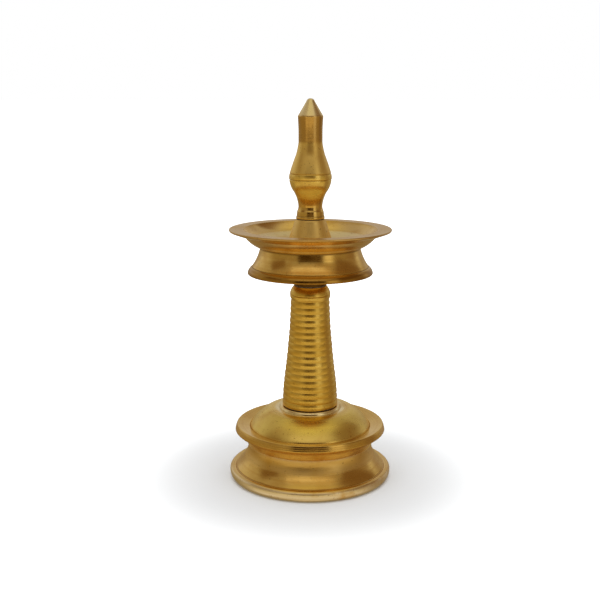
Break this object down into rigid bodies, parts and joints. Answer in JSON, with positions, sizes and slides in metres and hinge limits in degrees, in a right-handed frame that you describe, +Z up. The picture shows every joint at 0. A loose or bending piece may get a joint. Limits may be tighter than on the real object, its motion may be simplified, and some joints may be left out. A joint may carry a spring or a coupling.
{
  "type": "standing oil lamp",
  "caption": "Turned brass standing oil lamp: domed foot, ribbed tapering stem, shallow oil dish on a flared skirt and a spired finial, screwed together.",
  "frame": {"origin": "middle of the plane that the foot stands on", "axes": "+Z up along the lamp's axis; the lamp is round, so +X and +Y are free"},
  "size_m": [0.1096, 0.1096, 0.254],
  "materials": {
    "polished_brass": "polished",
    "satin_brass": "satin",
    "stud_brass": "satin",
    "washer_rubber": "matte"
  },
  "bodies": {
    "foot": {"foot": "polished_brass"},
    "stem_washer": {"stem_washer": "washer_rubber"},
    "stem": {"stem": "satin_brass", "stem_stud": "stud_brass"},
    "dish_washer": {"dish_washer": "washer_rubber"},
    "oil_dish": {"oil_dish": "polished_brass", "dish_stud": "stud_brass"},
    "finial_washer": {"finial_washer": "washer_rubber"},
    "finial": {"finial": "polished_brass", "finial_stud": "stud_brass"}
  },
  "joints": [
    {"name": "stem_turn", "type": "hinge", "parent": "foot", "child": "stem_washer", "pos_m": [0, 0, 0.0492], "axis": [0, 0, 1], "range_deg": [0, 1800]},
    {"name": "stem_lift", "type": "slide", "parent": "stem_washer", "child": "stem", "axis": [0, 0, 1], "range_m": [0, 0.015]},
    {"name": "dish_turn", "type": "hinge", "parent": "stem", "child": "dish_washer", "pos_m": [0, 0, 0.1319], "axis": [0, 0, 1], "range_deg": [0, 1440]},
    {"name": "dish_lift", "type": "slide", "parent": "dish_washer", "child": "oil_dish", "axis": [0, 0, 1], "range_m": [0, 0.012]},
    {"name": "finial_turn", "type": "hinge", "parent": "oil_dish", "child": "finial_washer", "pos_m": [0, 0, 0.1762], "axis": [0, 0, 1], "range_deg": [0, 1440]},
    {"name": "finial_lift", "type": "slide", "parent": "finial_washer", "child": "finial", "axis": [0, 0, 1], "range_m": [0, 0.012]}
  ],
  "couplings": [
    {"joint": "stem_turn", "follows": "stem_lift", "rad_per_m": 2094.4},
    {"joint": "dish_turn", "follows": "dish_lift", "rad_per_m": 2094.4},
    {"joint": "finial_turn", "follows": "finial_lift", "rad_per_m": 2094.4}
  ]
}
